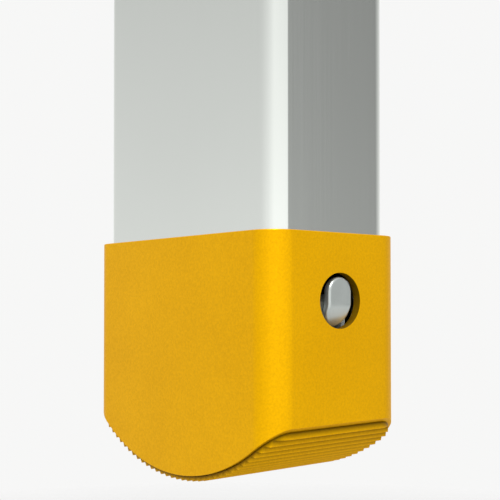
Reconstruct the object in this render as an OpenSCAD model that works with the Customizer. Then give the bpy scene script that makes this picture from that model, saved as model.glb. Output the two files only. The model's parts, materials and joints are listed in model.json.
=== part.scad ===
// Retractable bollard: a yellow foot shoe carries a fixed outer column, and a mast
// on a lockable gas strut rises out of it. The thumb lever in the shoe's window
// tips a rocker, which lifts the strut's release pin.
// Millimetres. +Z up, X along the wide face, Y along the depth, the lever on the
// +X face. The origin is the middle of the footprint, at the lowest tread ribs.

/* [Shoe] */
// Width of the shoe across its wide face
shoe_w = 150; // [140:1:190]
// Depth of the shoe across its narrow face
shoe_d = 83; // [80:1:110]
// Height of the narrow walls
shoe_side_h = 86.6; // [82:0.2:130]
// How far the rounded wide walls hang below the narrow ones
shoe_drop = 28.8; // [24:0.2:38]
// Radius of the upright corners
shoe_corner = 12.8; // [10:0.2:16]
// Wall thickness of the shoe
shoe_wall = 4.3; // [3.6:0.1:5.2]
// Thickness of the floor inside the shoe
floor_t = 6; // [4:0.5:8]
// Height of the floor's underside above the bottom of the narrow walls
floor_up = 6; // [4:0.5:8]

/* [Tread] */
// How far the tread stands back from the shoe's outer face
tread_inset = 1.5; // [0.5:0.1:3]
// How far the rib tips stand below the shoe's rounded edge
tread_out = 2.8; // [2.4:0.1:5]
// Number of ribs across the tread
rib_count = 36; // [24:1:44]
// Depth of the grooves between the ribs
rib_depth = 2.2; // [1:0.1:2.2]
// Shadow gap between the tread and the shoe's edge
seam_gap = 0.4; // [0.2:0.1:0.6]

/* [Window and lever] */
// Diameter of the round thumb window
window_dia = 25.5; // [24.5:0.5:28]
// Height of the window's centre above the bottom of the narrow walls
window_up = 55.5; // [54:0.5:60]
// Width of the lever's face
lever_w = 14.4; // [12:0.2:15]
// Reach of the lever's face above the window's centre
lever_above = 10.8; // [9:0.1:10.8]
// Reach of the lever's face below the window's centre
lever_below = 12; // [10:0.1:12]
// Drop from the window's centre to the bend in the lever's face
lever_bend = 2.3; // [1:0.1:4]
// How far the lever's lower end slopes inwards
lever_lean = 5; // [3:0.5:6]
// Thickness of the lever's face
lever_t = 4; // [3:0.2:4.6]
// How far the lever's face stands back from the shoe's outer face
lever_recess = 0; // [0:0.1:1.5]
// Depth of the lever's pivot behind the shoe's outer face
lever_pivot_in = 9.5; // [9:0.1:10.5]
// Drop from the window's centre to the lever's pivot
lever_pivot_down = 3; // [2:0.1:4]
// Diameter of the lever's pin
lever_pin_dia = 4; // [3:0.5:5]
// Distance from the lever's pivot to the tip of its nose
nose_reach = 14; // [12:0.5:16]

/* [Release rocker and strut] */
// Distance from the rocker's pin to the strut's axis
rocker_reach = 30; // [28:0.5:32]
// Diameter of the rocker's pin
rocker_pin_dia = 5; // [4:0.5:6]
// Diameter of the strut's release pin
release_pin_dia = 3; // [2.5:0.5:4]
// Diameter of the strut's rod
rod_dia = 10; // [8:1:12]
// Outer diameter of the strut's cylinder
cylinder_dia = 28; // [24:1:34]
// Wall of the strut's cylinder
cylinder_wall = 1.5; // [1.2:0.1:2.5]

/* [Column and mast] */
// How far the mast rises out of the column
mast_travel = 360; // [200:10:600]
// Wall of the outer column
column_wall = 3; // [2.5:0.1:3.5]
// Radius of the outer column's corners
column_corner = 9.5; // [8:0.5:11]
// Space between the mast and the column, on each side
mast_gap = 3.5; // [3:0.1:4.5]
// Wall of the mast
mast_wall = 3; // [2.5:0.1:4]
// Radius of the mast's corners
mast_corner = 5; // [4.5:0.5:8]
// Height of the slide guide at the foot of the mast
foot_guide_h = 40; // [30:1:60]
// Height of the slide guide at the top of the column
column_guide_h = 45; // [35:1:60]
// Width of each reflective band
band_h = 50; // [30:5:60]

/* [Head] */
// Wall of the collar around the column's top
collar_t = 2.5; // [2:0.1:3]
// Height of the head cap
cap_h = 42; // [38:1:60]
// Radius of the head cap's crown
crown_r = 260; // [200:10:400]
// Length of the handle's recess
recess_w = 96; // [90:1:100]
// Diameter of the handle's bar
handle_dia = 8; // [7:0.5:9]
// Distance from the handle's hinge to its bar
handle_reach = 22; // [20:0.5:24]

/* [Mounting] */
// Distance between the mounting threads, sideways
mount_span_x = 100; // [90:1:104]
// Distance between the mounting threads, upwards
mount_span_z = 40; // [30:1:44]
// Bore of the mounting threads
mount_bore = 8; // [6:1:8]

/* [Hidden] */
$fn = 96;

// Clearances
slip = 0.2;        // between the shoe and the column inside it
hole_gap = 0.05;   // round a screw, a pin or a rod in its hole
slide_gap = 0.3;   // between a slide guide and what it runs on
seal_gap = 0.6;    // between the mast and the seal or guide above its bands
link_gap = 0.25;   // between the lever's nose, the rocker and the release pin
cut = 1;           // how far a cutting shape runs past a face

// Colours
yellow = [0.93, 0.66, 0.04];
pale_grey = [0.82, 0.84, 0.82];
polished = [0.72, 0.74, 0.74];
steel = [0.55, 0.57, 0.6];
dark_steel = [0.3, 0.31, 0.33];
black_plastic = [0.12, 0.12, 0.13];
rubber = [0.07, 0.07, 0.07];

// Rocker tread and the shoe's rounded edge: both arcs share one centre line along Y
arc_r = (pow(shoe_w / 2, 2) + pow(shoe_drop, 2)) / (2 * shoe_drop);
tip_r = arc_r + tread_out;
tread_w = shoe_w - 2 * tread_inset;
tread_d = shoe_d - 2 * tread_inset;
edge_angle = asin(tread_w / 2 / tip_r);
rib_pitch = 2 * edge_angle / (rib_count - 1);
lowest_rib = rib_count % 2 == 0 ? rib_pitch / 2 : 0;
arc_z = tip_r * cos(lowest_rib);
seam_z = arc_z - arc_r + shoe_drop;
shoe_top = seam_z + shoe_side_h;
floor_low = seam_z + floor_up;
floor_z = floor_low + floor_t;

// Column and mast sections
column_w = shoe_w - 2 * (shoe_wall + slip);
column_d = shoe_d - 2 * (shoe_wall + slip);
bore_w = column_w - 2 * column_wall;
bore_d = column_d - 2 * column_wall;
bore_corner = column_corner - column_wall;
mast_w = bore_w - 2 * mast_gap;
mast_d = bore_d - 2 * mast_gap;
mast_bore_w = mast_w - 2 * mast_wall;
mast_bore_d = mast_d - 2 * mast_wall;
mast_bore_corner = mast_corner - mast_wall;

// Lever
window_z = seam_z + window_up;
lever_x = shoe_w / 2 - lever_pivot_in;
lever_z = window_z - lever_pivot_down;
lever_face_x = shoe_w / 2 - lever_recess;
lever_hub_r = lever_pin_dia / 2 + 2;
lever_hub_w = lever_w + 1.4;
nose_r = 2.5;
nose_w = 8;
nose_x = lever_x - nose_reach;
ear_t = 2.5;
ear_in = lever_hub_w / 2 + 0.4;
ear_out = ear_in + ear_t;
ear_r = lever_pin_dia / 2 + 1.5;
bracket_x = shoe_w / 2 - shoe_wall - slip - column_wall - 0.5;
bracket_cheek = 11;
bracket_foot = 26;
bracket_t = 3;
bracket_screw_x = [bracket_x - bracket_foot + 5, bracket_x - bracket_foot + 15];

// Release rocker: its outer end lies under the lever's nose
rocker_bar = 5;
rocker_w = 12;
rocker_top = lever_z - nose_r - link_gap;
rocker_z = rocker_top - rocker_bar / 2;
rocker_hub_r = rocker_pin_dia / 2 + 3;
pad_r = 3;
pad_rise = 1.5;
pad_top = rocker_top + pad_rise;

// Strut stand, release pin and rod
leg_in = 17;
leg_t = 6;
leg_out = leg_in + leg_t;
foot_out = leg_out + 9;
stand_left = -24;
stand_right = rocker_reach + rocker_hub_r + 2.5;
stand_plate_t = 8;
stand_foot_t = 6;
pin_low = pad_top + link_gap;
pin_show = 13;
rod_low = pin_low + pin_show;
nut_h = 6.5;
rod_show = 1;
plate_low = rod_low + rod_show + nut_h;
stand_top = plate_low + stand_plate_t;
pin_top = stand_top + 28;
pin_collar_low = pin_low + pad_rise;
pin_collar_t = 2;
pin_collar_r = release_pin_dia / 2 + 2.9;
spring_wire = 1;
spring_r = release_pin_dia / 2 + 1.7;
spring_turns = 5;

// Strut cylinder and piston
cylinder_low = stand_top + nut_h + 10;
gland_h = 20;
piston_h = 12;
piston_gap = 3;
cylinder_head = 4;
piston_low = cylinder_low + gland_h + mast_travel + piston_gap;
cylinder_top = piston_low + piston_h + piston_gap + cylinder_head;
cylinder_bore_r = cylinder_dia / 2 - cylinder_wall;
stud_r = 4;
stud_h = 14;
piston_stud_r = 3;

// Mast, guides, collar and head
mast_low = cylinder_low + 7;
bump_t = 6;
bump_gap = 1;
column_top = mast_low + foot_guide_h + mast_travel + bump_gap + bump_t + column_guide_h;
guide_low = column_top - column_guide_h;
collar_fit = 0.1;
collar_skirt = 28;
collar_lip = 4;
collar_w = column_w + 2 * (collar_fit + collar_t);
collar_d = column_d + 2 * (collar_fit + collar_t);
collar_corner = column_corner + collar_fit + collar_t;
collar_top = column_top + collar_lip;
seal_t = 2;
cross_t = 6;
cross_mid = cylinder_top + cross_t / 2;
cap_low = collar_top + 0.4;
cap_top = cap_low + cap_h;
plug_h = 30;
plug_wall = 4;
plug_fit = 0.2;
recess_d = 46;
recess_deep = 24;
recess_y = -4;
recess_corner = 5;
cap_floor_t = 6;
hinge_y = 10;
hinge_z = cap_top - 10;
handle_pin_r = 3;
handle_pin_end = recess_w / 2 + 6;
handle_eye_r = handle_dia / 2 + 1.6;
handle_eye_w = 6;
handle_gap = 1;
handle_half = recess_w / 2 - handle_gap - handle_eye_w / 2;
handle_arm_r = handle_eye_w / 2 - 0.4;
band_t = 0.3;
band_places = [150, 250];

// Screws: [shank radius, head radius, head height]
m4 = [2, 3.8, 1.6];
flush_m4 = [2, 3.4, 2];
m5 = [2.5, 4.5, 3];
m6 = [3, 5, 4];
tread_screw_x = shoe_w / 2 - 23;
tread_screw_y = shoe_d / 2 - 17.5;
tread_screw_bite = 14;
stand_bolt_x = [stand_left + 10, stand_right - 10];
stand_bolt_y = (leg_out + foot_out) / 2;
collar_screw_x = column_w / 2 - 25;
collar_screw_z = column_top - 15;
column_screw_x = mount_span_x / 4;
mount_z = floor_z + mount_span_z / 2 + 14.5;
plate_screw_x = 35;
plate_screw_bite = 12;
head_bolt_x = 40;
foot_rivet_x = 45;

// ---- shapes used by several pieces ----

module rounded(w, d, r) {
    square([w - 2 * r, d], center = true);
    square([w, d - 2 * r], center = true);
    for (x = [-1, 1], y = [-1, 1])
        translate([x * (w / 2 - r), y * (d / 2 - r)]) circle(r);
}

module block(w, d, r, low, high) {
    translate([0, 0, low]) linear_extrude(high - low) rounded(w, d, r);
}

module tube(w, d, r, wall, low, high) {
    difference() {
        block(w, d, r, low, high);
        block(w - 2 * wall, d - 2 * wall, max(r - wall, 0.5), low - cut, high + cut);
    }
}

// An outline drawn in X and Z, drawn out along Y
module along_y(length) {
    rotate([90, 0, 0]) translate([0, 0, -length / 2]) linear_extrude(length) children();
}

// An outline drawn in Y and Z, drawn out along X from x = start
module along_x(start, length) {
    translate([start, 0, 0]) rotate([90, 0, 90]) linear_extrude(length) children();
}

module rod_y(x, z, r, from, to) {
    translate([x, from, z]) rotate([-90, 0, 0]) cylinder(h = to - from, r = r);
}

module rod_x(y, z, r, from, to) {
    translate([from, y, z]) rotate([0, 90, 0]) cylinder(h = to - from, r = r);
}

module rod_z(x, y, r, from, to) {
    translate([x, y, from]) cylinder(h = to - from, r = r);
}

module hex_nut(across, bore_r, low, high) {
    difference() {
        translate([0, 0, low]) cylinder(h = high - low, r = across / sqrt(3), $fn = 6);
        rod_z(0, 0, bore_r, low - cut, high + cut);
    }
}

// A socket screw that stands in the Z direction, its head above z = top
module screw_down(size, top, bite) {
    difference() {
        union() {
            translate([0, 0, top - bite]) cylinder(h = bite + size[2], r = size[0]);
            translate([0, 0, top]) cylinder(h = size[2], r = size[1]);
        }
        translate([0, 0, top + size[2] / 2]) cylinder(h = size[2], r = size[0] * 0.9, $fn = 6);
    }
}

// The same screw along Y, its head standing on the face at y = face
module screw_side(x, z, face, size, bite) {
    translate([x, face, z]) rotate([-90, 0, 0]) screw_down(size, 0, bite);
}

// A countersunk screw along Y, flush with the face at y = face
module flush_screw(x, z, face, size, bite) {
    rod_y(x, z, size[0], face - bite, face - size[2]);
    translate([x, face - size[2], z]) rotate([-90, 0, 0])
        cylinder(h = size[2], r1 = size[0], r2 = size[1]);
}

module mirror_y() {
    children();
    mirror([0, 1, 0]) children();
}

// Region on the inside of an arc about the shared centre line, in X and Z
module arc_region(r, top) {
    intersection() {
        translate([0, arc_z]) circle(r, $fn = 180);
        translate([-shoe_w, arc_z - r - cut]) square([2 * shoe_w, top - arc_z + r + cut]);
    }
}

function arc_point(r, angle) = [r * sin(angle), arc_z - r * cos(angle)];

// ---- foot ----

module floor_holes(low, high, gap) {
    for (x = [-1, 1], y = [-1, 1])
        rod_z(x * tread_screw_x, y * tread_screw_y, m5[0] + gap, low, high);
}

module mount_holes(r, from, to) {
    for (x = [-1, 1], z = [-1, 1])
        rod_y(x * mount_span_x / 2, mount_z + z * mount_span_z / 2, r, from, to);
}

module shoe_shell() {
    color(yellow) difference() {
        intersection() {
            block(shoe_w, shoe_d, shoe_corner, seam_z - shoe_drop - cut, shoe_top);
            union() {
                along_y(shoe_d + 2 * cut) arc_region(arc_r, seam_z + cut);
                block(shoe_w + cut, shoe_d + cut, cut, seam_z, shoe_top + cut);
            }
        }
        block(column_w + 2 * slip, column_d + 2 * slip, column_corner + slip, floor_z, shoe_top + cut);
        block(column_w + 2 * slip, column_d + 2 * slip, column_corner + slip, -cut, floor_low);
        rod_x(0, window_z, window_dia / 2, shoe_w / 2 - shoe_wall - cut, shoe_w / 2 + cut);
        mount_holes(mount_bore / 2 + 1.5, column_d / 2, shoe_d / 2 + cut);
        floor_holes(floor_low - cut, floor_z + cut, hole_gap);
        for (x = stand_bolt_x, y = [-1, 1])
            rod_z(x, y * stand_bolt_y, m6[0] + hole_gap, floor_low - cut, floor_z + cut);
        for (x = bracket_screw_x)
            rod_z(x, 0, m4[0] + hole_gap, floor_low - cut, floor_z + cut);
        for (x = [-1, 1])
            flush_screw(x * column_screw_x, mount_z, shoe_d / 2 + hole_gap,
                        [m5[0] + hole_gap, m5[1] + hole_gap, m5[2]], shoe_wall + cut);
    }
}

module rib_outline(top) {
    side = tread_w / 2 + cut;
    low_edge = arc_point(tip_r, edge_angle)[1];
    ribs = [for (i = [0 : rib_count - 1]) each [
        arc_point(tip_r, -edge_angle + i * rib_pitch),
        if (i < rib_count - 1) arc_point(tip_r - rib_depth, -edge_angle + (i + 0.5) * rib_pitch)
    ]];
    polygon(concat([[-side, top], [-side, low_edge]], ribs, [[side, low_edge], [side, top]]));
}

module tread_pad() {
    plug_gap = slip + 0.1;
    color(yellow) difference() {
        union() {
            intersection() {
                block(tread_w, tread_d, shoe_corner - tread_inset, -cut, seam_z);
                along_y(shoe_d) difference() {
                    rib_outline(seam_z - cut);
                    translate([0, arc_z]) circle(arc_r + seam_gap, $fn = 180);
                }
            }
            intersection() {
                block(column_w - 2 * plug_gap, column_d - 2 * plug_gap, column_corner - plug_gap,
                      -cut, floor_low);
                along_y(shoe_d) rib_outline(floor_low + cut);
            }
        }
        floor_holes(floor_low - tread_screw_bite - cut, floor_low + cut, hole_gap);
        for (x = stand_bolt_x, y = [-1, 1])
            rod_z(x, y * stand_bolt_y, m6[0] + 1, floor_low - 2 * cut, floor_low + cut);
    }
}

module tread_screws() {
    color(steel) for (x = [-1, 1], y = [-1, 1])
        translate([x * tread_screw_x, y * tread_screw_y, 0])
            screw_down(m5, floor_z, floor_t + tread_screw_bite);
}

module mount_inserts() {
    flange = 1;
    color(steel) difference() {
        union() {
            mount_holes(mount_bore / 2 + 1.5 - hole_gap, bore_d / 2, shoe_d / 2);
            mount_holes(mount_bore / 2 + 3.5, bore_d / 2 - flange, bore_d / 2);
        }
        mount_holes(mount_bore / 2, bore_d / 2 - flange - cut, shoe_d / 2 + cut);
    }
}

module column_screws() {
    color(steel) for (x = [-1, 1])
        flush_screw(x * column_screw_x, mount_z, shoe_d / 2, m5, shoe_wall + slip + column_wall + 2);
}

// ---- release lever and its bracket ----

module lever_profile() {
    front = lever_face_x;
    low_front = front - lever_lean;
    polygon([
        [front - lever_t, window_z + lever_above],
        [front, window_z + lever_above],
        [front, window_z - lever_bend],
        [low_front, window_z - lever_below],
        [low_front - lever_t, window_z - lever_below],
        [front - lever_t, window_z - lever_bend]
    ]);
}

module lever_face_outline() {
    r = lever_w / 2;
    for (z = [window_z + lever_above - r, window_z - lever_below + r])
        translate([0, z]) circle(r);
    translate([-r, window_z - lever_below + r])
        square([lever_w, lever_above + lever_below - lever_w]);
}

module release_lever() {
    web_w = 10;
    color(polished) difference() {
        union() {
            intersection() {
                along_y(lever_w + cut) lever_profile();
                along_x(lever_x - 2 * lever_t, shoe_w / 2) lever_face_outline();
            }
            rod_y(lever_x, lever_z, lever_hub_r, -lever_hub_w / 2, lever_hub_w / 2);
            translate([lever_x, -web_w / 2, lever_z - 3])
                cube([lever_face_x - lever_t - lever_x + 0.5, web_w, 9]);
            translate([nose_x, -nose_w / 2, lever_z - nose_r]) cube([nose_reach, nose_w, 2 * nose_r]);
            rod_y(nose_x, lever_z, nose_r, -nose_w / 2, nose_w / 2);
        }
        rod_y(lever_x, lever_z, lever_pin_dia / 2 + hole_gap, -lever_w, lever_w);
    }
}

module lever_pin() {
    head = 1.5;
    color(steel) {
        rod_y(lever_x, lever_z, lever_pin_dia / 2, -ear_out - head, ear_out + head);
        for (y = [-ear_out - head, ear_out])
            rod_y(lever_x, lever_z, lever_pin_dia / 2 + 1.2, y, y + head);
    }
}

module lever_bracket() {
    low = floor_z;
    left = bracket_x - bracket_cheek;
    color(dark_steel) difference() {
        union() {
            mirror_y() translate([left, ear_in, low])
                cube([bracket_cheek, ear_t, lever_z - ear_r - low]);
            mirror_y() translate([left, ear_in, lever_z - ear_r - cut])
                cube([lever_x - left, ear_t, 2 * ear_r + cut]);
            mirror_y() rod_y(lever_x, lever_z, ear_r, ear_in, ear_out);
            translate([bracket_x - bracket_foot, -ear_out, low])
                cube([bracket_foot, 2 * ear_out, bracket_t]);
        }
        rod_y(lever_x, lever_z, lever_pin_dia / 2 + hole_gap, -ear_out - cut, ear_out + cut);
        for (x = bracket_screw_x)
            rod_z(x, 0, m4[0] + hole_gap, low - cut, low + bracket_t + cut);
    }
}

module bracket_screws() {
    color(steel) for (x = bracket_screw_x)
        translate([x, 0, 0]) screw_down(m4, floor_z + bracket_t, bracket_t + floor_t);
}

// ---- release rocker, release pin and strut ----

module release_rocker() {
    left = -pad_r;
    right = nose_x + 3;
    color(steel) difference() {
        union() {
            translate([left, -rocker_w / 2, rocker_z - rocker_bar / 2])
                cube([right - left, rocker_w, rocker_bar]);
            rod_y(0, pad_top - pad_r, pad_r, -rocker_w / 2, rocker_w / 2);
            rod_y(rocker_reach, rocker_z, rocker_hub_r, -leg_in + 0.4, leg_in - 0.4);
        }
        rod_y(rocker_reach, rocker_z, rocker_pin_dia / 2 + hole_gap, -leg_out, leg_out);
        translate([nose_x - nose_r - 2, -leg_in, rocker_top])
            cube([nose_reach, 2 * leg_in, rocker_hub_r]);
    }
}

module rocker_pin() {
    head = 1.5;
    color(steel) {
        rod_y(rocker_reach, rocker_z, rocker_pin_dia / 2, -leg_out - head, leg_out + head);
        for (y = [-leg_out - head, leg_out])
            rod_y(rocker_reach, rocker_z, rocker_pin_dia / 2 + 1.5, y, y + head);
    }
}

module release_pin() {
    color(polished) {
        rod_z(0, 0, release_pin_dia / 2, pin_low, pin_top);
        rod_z(0, 0, pin_collar_r, pin_collar_low, pin_collar_low + pin_collar_t);
    }
}

// One round of the spring's wire, at a fraction of its length
function wire_round(t, low, rise) = [for (k = [0 : 7])
    let (turn = 360 * spring_turns * t, side = 45 * k, r = spring_r + spring_wire / 2 * cos(side))
    [r * cos(turn), r * sin(turn), low + rise * t + spring_wire / 2 * sin(side)]];

module return_spring() {
    steps = 20 * spring_turns;
    low = pin_collar_low + pin_collar_t + spring_wire / 2;
    rise = rod_low - spring_wire / 2 - low;
    points = [for (i = [0 : steps]) each wire_round(i / steps, low, rise)];
    sides = [for (i = [0 : steps - 1], k = [0 : 7])
        [i * 8 + k, i * 8 + (k + 1) % 8, (i + 1) * 8 + (k + 1) % 8, (i + 1) * 8 + k]];
    ends = [[for (k = [7 : -1 : 0]) k], [for (k = [0 : 7]) steps * 8 + k]];
    color(steel) polyhedron(points, concat(sides, ends));
}

module stand_side_outline() {
    low_right = rocker_z + rocker_hub_r + 3;
    polygon([
        [stand_left, floor_z], [stand_right, floor_z], [stand_right, low_right],
        [-stand_left, stand_top], [stand_left, stand_top]
    ]);
}

module strut_stand() {
    color(dark_steel) difference() {
        union() {
            mirror_y() translate([0, (leg_in + leg_out) / 2, 0]) along_y(leg_t) stand_side_outline();
            mirror_y() translate([stand_left, leg_in, floor_z])
                cube([stand_right - stand_left, foot_out - leg_in, stand_foot_t]);
            translate([stand_left, -leg_in - cut, plate_low])
                cube([-2 * stand_left, 2 * (leg_in + cut), stand_plate_t]);
        }
        rod_z(0, 0, rod_dia / 2 + hole_gap, plate_low - cut, stand_top + cut);
        rod_y(rocker_reach, rocker_z, rocker_pin_dia / 2 + hole_gap, -foot_out, foot_out);
        for (x = stand_bolt_x, y = [-1, 1])
            rod_z(x, y * stand_bolt_y, m6[0] + hole_gap, floor_z - cut, floor_z + stand_foot_t + cut);
    }
}

module stand_bolts() {
    color(steel) for (x = stand_bolt_x, y = [-1, 1])
        translate([x, y * stand_bolt_y, 0])
            screw_down([m6[0], 4.4, m6[2]], floor_z + stand_foot_t, stand_foot_t + floor_t);
}

module strut_rod() {
    color(polished) difference() {
        union() {
            rod_z(0, 0, rod_dia / 2, rod_low, piston_low);
            rod_z(0, 0, piston_stud_r, piston_low, piston_low + piston_h);
        }
        rod_z(0, 0, release_pin_dia / 2 + hole_gap, rod_low - cut, pin_top + 8);
    }
}

module strut_piston() {
    color(dark_steel) difference() {
        rod_z(0, 0, cylinder_bore_r - hole_gap, piston_low, piston_low + piston_h);
        rod_z(0, 0, piston_stud_r, piston_low - cut, piston_low + piston_h + cut);
    }
}

module strut_nuts() {
    across = rod_dia + 6;
    color(steel) {
        hex_nut(across, rod_dia / 2, plate_low - nut_h, plate_low);
        hex_nut(across, rod_dia / 2, stand_top, stand_top + nut_h);
    }
}

module strut_cylinder() {
    color(black_plastic) {
        difference() {
            rod_z(0, 0, cylinder_dia / 2, cylinder_low, cylinder_top);
            rod_z(0, 0, cylinder_bore_r, cylinder_low - cut, cylinder_top - cylinder_head);
        }
        rod_z(0, 0, stud_r, cylinder_top - cut, cylinder_top + stud_h);
    }
}

module strut_gland() {
    color(black_plastic) difference() {
        rod_z(0, 0, cylinder_bore_r, cylinder_low, cylinder_low + gland_h);
        rod_z(0, 0, rod_dia / 2 + hole_gap, cylinder_low - cut, cylinder_low + gland_h + cut);
    }
}

// ---- column and mast ----

module outer_column() {
    color(pale_grey) difference() {
        tube(column_w, column_d, column_corner, column_wall, floor_z, column_top);
        rod_x(0, window_z, window_dia / 2 + 2.25, bore_w / 2 - cut, column_w / 2 + cut);
        mount_holes(mount_bore / 2 + 1.5, bore_d / 2 - cut, column_d / 2 + cut);
        for (x = [-1, 1])
            rod_y(x * column_screw_x, mount_z, m5[0] + hole_gap, bore_d / 2 - cut, column_d / 2 + cut);
        collar_screw_holes(bore_d / 2 - cut, column_d / 2 + cut);
    }
}

module collar_screw_holes(from, to) {
    mirror_y() for (x = [-1, 1])
        rod_y(x * collar_screw_x, collar_screw_z, m4[0] + hole_gap, from, to);
}

module top_collar() {
    color(yellow) difference() {
        block(collar_w, collar_d, collar_corner, column_top - collar_skirt, collar_top);
        block(column_w + 2 * collar_fit, column_d + 2 * collar_fit, column_corner + collar_fit,
              column_top - collar_skirt - cut, column_top);
        block(mast_w + 2 * (seal_gap + seal_t), mast_d + 2 * (seal_gap + seal_t),
              mast_corner + seal_gap + seal_t, column_top - cut, collar_top + cut);
        collar_screw_holes(column_d / 2, collar_d / 2 + cut);
    }
}

module collar_screws() {
    bite = collar_t + collar_fit + column_wall + slide_gap + 2;
    color(steel) mirror_y() for (x = [-1, 1])
        screw_side(x * collar_screw_x, collar_screw_z, collar_d / 2, m4, bite);
}

module wiper_seal() {
    color(rubber) tube(mast_w + 2 * (seal_gap + seal_t), mast_d + 2 * (seal_gap + seal_t),
        mast_corner + seal_gap + seal_t, seal_t, column_top, collar_top);
}

module guide_ring(low, high) {
    difference() {
        block(bore_w - 0.1, bore_d - 0.1, bore_corner, low, high);
        block(mast_w + 2 * seal_gap, mast_d + 2 * seal_gap, mast_corner + seal_gap, low - cut, high + cut);
    }
}

module column_guide() {
    color(black_plastic) difference() {
        guide_ring(guide_low, column_top);
        collar_screw_holes(mast_d / 2, bore_d / 2 + cut);
    }
}

module bump_stop() {
    color(rubber) guide_ring(guide_low - bump_t, guide_low);
}

module mast_tube() {
    color(pale_grey) difference() {
        tube(mast_w, mast_d, mast_corner, mast_wall, mast_low, cap_low);
        rivet_holes(mast_bore_d / 2 - cut, mast_d / 2 + cut);
        mirror_y() for (x = [-1, 1])
            flush_screw(x * plate_screw_x, cross_mid, mast_d / 2 + hole_gap,
                        [m4[0] + hole_gap, flush_m4[1] + hole_gap, flush_m4[2]], mast_wall + cut);
    }
}

module plate_screw_holes(from, to) {
    mirror_y() for (x = [-1, 1])
        rod_y(x * plate_screw_x, cross_mid, m4[0] + hole_gap, from, to);
}

module rivet_holes(from, to) {
    mirror_y() for (x = [-1, 1])
        rod_y(x * foot_rivet_x, mast_low + foot_guide_h / 2, m4[0] + hole_gap, from, to);
}

module cross_plate() {
    color(steel) difference() {
        block(mast_bore_w - 2 * plug_fit, mast_bore_d - 2 * plug_fit, mast_bore_corner,
              cylinder_top, cylinder_top + cross_t);
        rod_z(0, 0, stud_r + hole_gap, cylinder_top - cut, cylinder_top + cross_t + cut);
        plate_screw_holes(mast_bore_d / 2 - plate_screw_bite, mast_bore_d / 2 + cut);
        for (x = [-1, 1])
            rod_z(x * head_bolt_x, 0, m6[0] + hole_gap, cylinder_top - cut, cylinder_top + cross_t + cut);
    }
}

module plate_screws() {
    color(steel) mirror_y() for (x = [-1, 1])
        flush_screw(x * plate_screw_x, cross_mid, mast_d / 2, flush_m4, mast_wall + plate_screw_bite - 1);
}

module strut_top_nut() {
    color(steel) hex_nut(13, stud_r, cylinder_top + cross_t, cylinder_top + cross_t + nut_h);
}

module foot_guide() {
    color(black_plastic) difference() {
        block(bore_w - 2 * slide_gap, bore_d - 2 * slide_gap, bore_corner, mast_low, mast_low + foot_guide_h);
        block(mast_w, mast_d, mast_corner, mast_low - cut, mast_low + foot_guide_h + cut);
        rivet_holes(mast_d / 2 - cut, bore_d / 2 + cut);
    }
}

module foot_rivets() {
    head = 1.5;
    z = mast_low + foot_guide_h / 2;
    color(steel) mirror_y() for (x = [-1, 1]) {
        rod_y(x * foot_rivet_x, z, m4[0], mast_bore_d / 2 - cut, bore_d / 2 - slide_gap - 0.5);
        rod_y(x * foot_rivet_x, z, m4[1], mast_bore_d / 2 - head, mast_bore_d / 2);
    }
}

module reflective_bands() {
    color("white") for (drop = band_places)
        tube(mast_w + 2 * band_t, mast_d + 2 * band_t, mast_corner + band_t, band_t,
             cap_low - drop - band_h, cap_low - drop);
}

// ---- head ----

module recess(low, high) {
    translate([0, recess_y, 0]) block(recess_w, recess_d, recess_corner, low, high);
}

module head_cap() {
    recess_low = cap_top - recess_deep;
    pocket_w = mast_bore_w - 2 * (plug_fit + plug_wall);
    pocket_d = mast_bore_d - 2 * (plug_fit + plug_wall);
    color(yellow) difference() {
        union() {
            intersection() {
                block(collar_w, collar_d, collar_corner, cap_low, cap_top);
                along_y(collar_d + cut) translate([0, cap_top - crown_r]) circle(crown_r, $fn = 360);
            }
            block(mast_bore_w - 2 * plug_fit, mast_bore_d - 2 * plug_fit, mast_bore_corner,
                  cap_low - plug_h, cap_low + cut);
        }
        block(pocket_w, pocket_d, mast_bore_corner, cap_low - plug_h - cut, recess_low - cap_floor_t);
        recess(recess_low, cap_top + cut);
        mirror([1, 0, 0]) handle_pin_hole();
        handle_pin_hole();
        for (x = [-1, 1])
            rod_z(x * head_bolt_x, 0, m6[0] + hole_gap, cap_low - cut, cap_top);
    }
}

module handle_pin_hole() {
    rod_x(hinge_y, hinge_z, handle_pin_r, recess_w / 2 - cut, handle_pin_end + 0.5);
}

module head_bolts() {
    top = cap_top - recess_deep;
    color(steel) for (x = [-1, 1])
        translate([x * head_bolt_x, 0, 0]) screw_down(m6, top, top - cylinder_top - 0.5);
}

module lift_handle() {
    bar_y = hinge_y - handle_reach;
    color(polished) difference() {
        union() {
            rod_x(bar_y, hinge_z, handle_dia / 2,
                  -handle_half - handle_eye_w / 2, handle_half + handle_eye_w / 2);
            for (x = [-1, 1]) {
                rod_y(x * handle_half, hinge_z, handle_arm_r, bar_y, hinge_y);
                rod_x(hinge_y, hinge_z, handle_eye_r,
                      x * handle_half - handle_eye_w / 2, x * handle_half + handle_eye_w / 2);
            }
        }
        rod_x(hinge_y, hinge_z, handle_pin_r + hole_gap, -recess_w, recess_w);
    }
}

module handle_pins() {
    color(steel) for (side = [0, 1])
        mirror([side, 0, 0])
            rod_x(hinge_y, hinge_z, handle_pin_r, handle_half - handle_eye_w / 2 - 1, handle_pin_end);
}

shoe_shell();
tread_pad();
tread_screws();
outer_column();
mount_inserts();
column_screws();
release_lever();
lever_pin();
lever_bracket();
bracket_screws();
release_rocker();
rocker_pin();
release_pin();
return_spring();
strut_stand();
stand_bolts();
strut_rod();
strut_piston();
strut_nuts();
strut_cylinder();
strut_gland();
cross_plate();
plate_screws();
strut_top_nut();
mast_tube();
foot_guide();
foot_rivets();
column_guide();
bump_stop();
top_collar();
collar_screws();
wiper_seal();
reflective_bands();
head_cap();
head_bolts();
lift_handle();
handle_pins();
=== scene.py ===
import json
import math

import bmesh
import bpy
from mathutils import Matrix, Vector

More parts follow.
